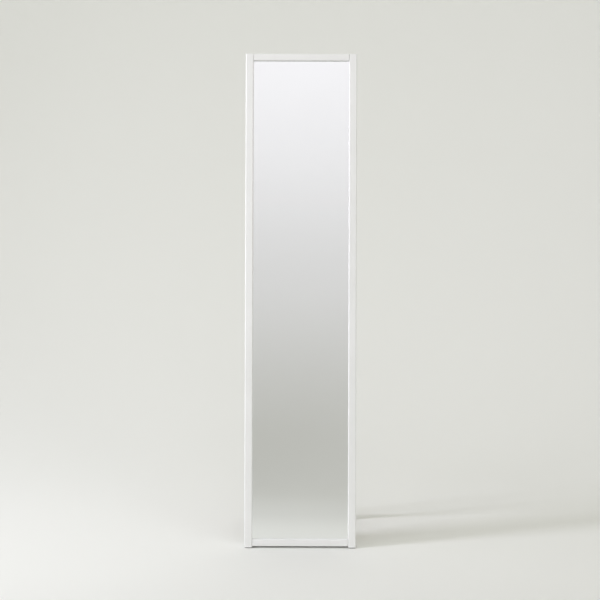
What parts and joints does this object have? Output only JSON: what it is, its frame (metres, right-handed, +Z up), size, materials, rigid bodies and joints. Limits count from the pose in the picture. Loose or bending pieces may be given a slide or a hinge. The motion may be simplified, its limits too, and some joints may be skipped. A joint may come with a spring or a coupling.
{
  "type": "free-standing mirror",
  "caption": "Tall slim free-standing mirror in a white wooden frame that leans back on a rear stand, which folds flat about butt hinges.",
  "frame": {"origin": "centre of the overall bounding box, on the floor, with the rear stand open", "axes": "+Z up, -Y is the side that the mirror faces, +X to the right seen from the front"},
  "size_m": [0.338, 0.2866, 1.4904],
  "materials": {
    "white_paint": "white satin paint over wood",
    "mirror": "silvered float glass",
    "hardboard": "bare brown hardboard",
    "packing_card": "plain grey-brown card",
    "dowel_wood": "bare beech",
    "zinc_steel": "zinc-plated steel",
    "felt": "dark pressed felt",
    "rubber": "matt"
  },
  "bodies": {
    "mirror": {"stile_left": "white_paint", "stile_right": "white_paint", "rail_top": "white_paint", "rail_bottom": "white_paint", "frame_dowel_1": "dowel_wood", "frame_dowel_2": "dowel_wood", "frame_dowel_3": "dowel_wood", "frame_dowel_4": "dowel_wood", "frame_dowel_5": "dowel_wood", "frame_dowel_6": "dowel_wood", "frame_dowel_7": "dowel_wood", "frame_dowel_8": "dowel_wood", "mirror_glass": "mirror", "packing_sheet": "packing_card", "backing_board": "hardboard", "bead_left_lower": "white_paint", "bead_left_upper": "white_paint", "bead_right_lower": "white_paint", "bead_right_upper": "white_paint", "bead_top": "white_paint", "bead_bottom": "white_paint", "hinge_rail": "white_paint", "hinge_rail_screw_1": "zinc_steel", "hinge_rail_screw_2": "zinc_steel", "hinge_rail_screw_3": "zinc_steel", "hinge_rail_screw_4": "zinc_steel", "hinge_left_frame_leaf": "zinc_steel", "hinge_right_frame_leaf": "zinc_steel", "hinge_left_pin": "zinc_steel", "hinge_right_pin": "zinc_steel", "frame_leaf_screw_1": "zinc_steel", "frame_leaf_screw_2": "zinc_steel", "frame_leaf_screw_3": "zinc_steel", "frame_leaf_screw_4": "zinc_steel", "stop_pad_left": "rubber", "stop_pad_right": "rubber", "foot_pad_front_left": "felt", "foot_pad_front_right": "felt"},
    "stand": {"leg_left": "white_paint", "leg_right": "white_paint", "crossbar_upper": "white_paint", "crossbar_lower": "white_paint", "stand_dowel_1": "dowel_wood", "stand_dowel_2": "dowel_wood", "stand_dowel_3": "dowel_wood", "stand_dowel_4": "dowel_wood", "stand_dowel_5": "dowel_wood", "stand_dowel_6": "dowel_wood", "stand_dowel_7": "dowel_wood", "stand_dowel_8": "dowel_wood", "hinge_left_stand_leaf": "zinc_steel", "hinge_right_stand_leaf": "zinc_steel", "stand_leaf_screw_1": "zinc_steel", "stand_leaf_screw_2": "zinc_steel", "stand_leaf_screw_3": "zinc_steel", "stand_leaf_screw_4": "zinc_steel", "foot_pad_rear_left": "felt", "foot_pad_rear_right": "felt"}
  },
  "joints": [
    {"name": "stand_fold", "type": "hinge", "parent": "mirror", "child": "stand", "pos_m": [0, 0.01365, 1.0892], "axis": [-1, 0, 0], "range_deg": [0, 12.25]}
  ]
}
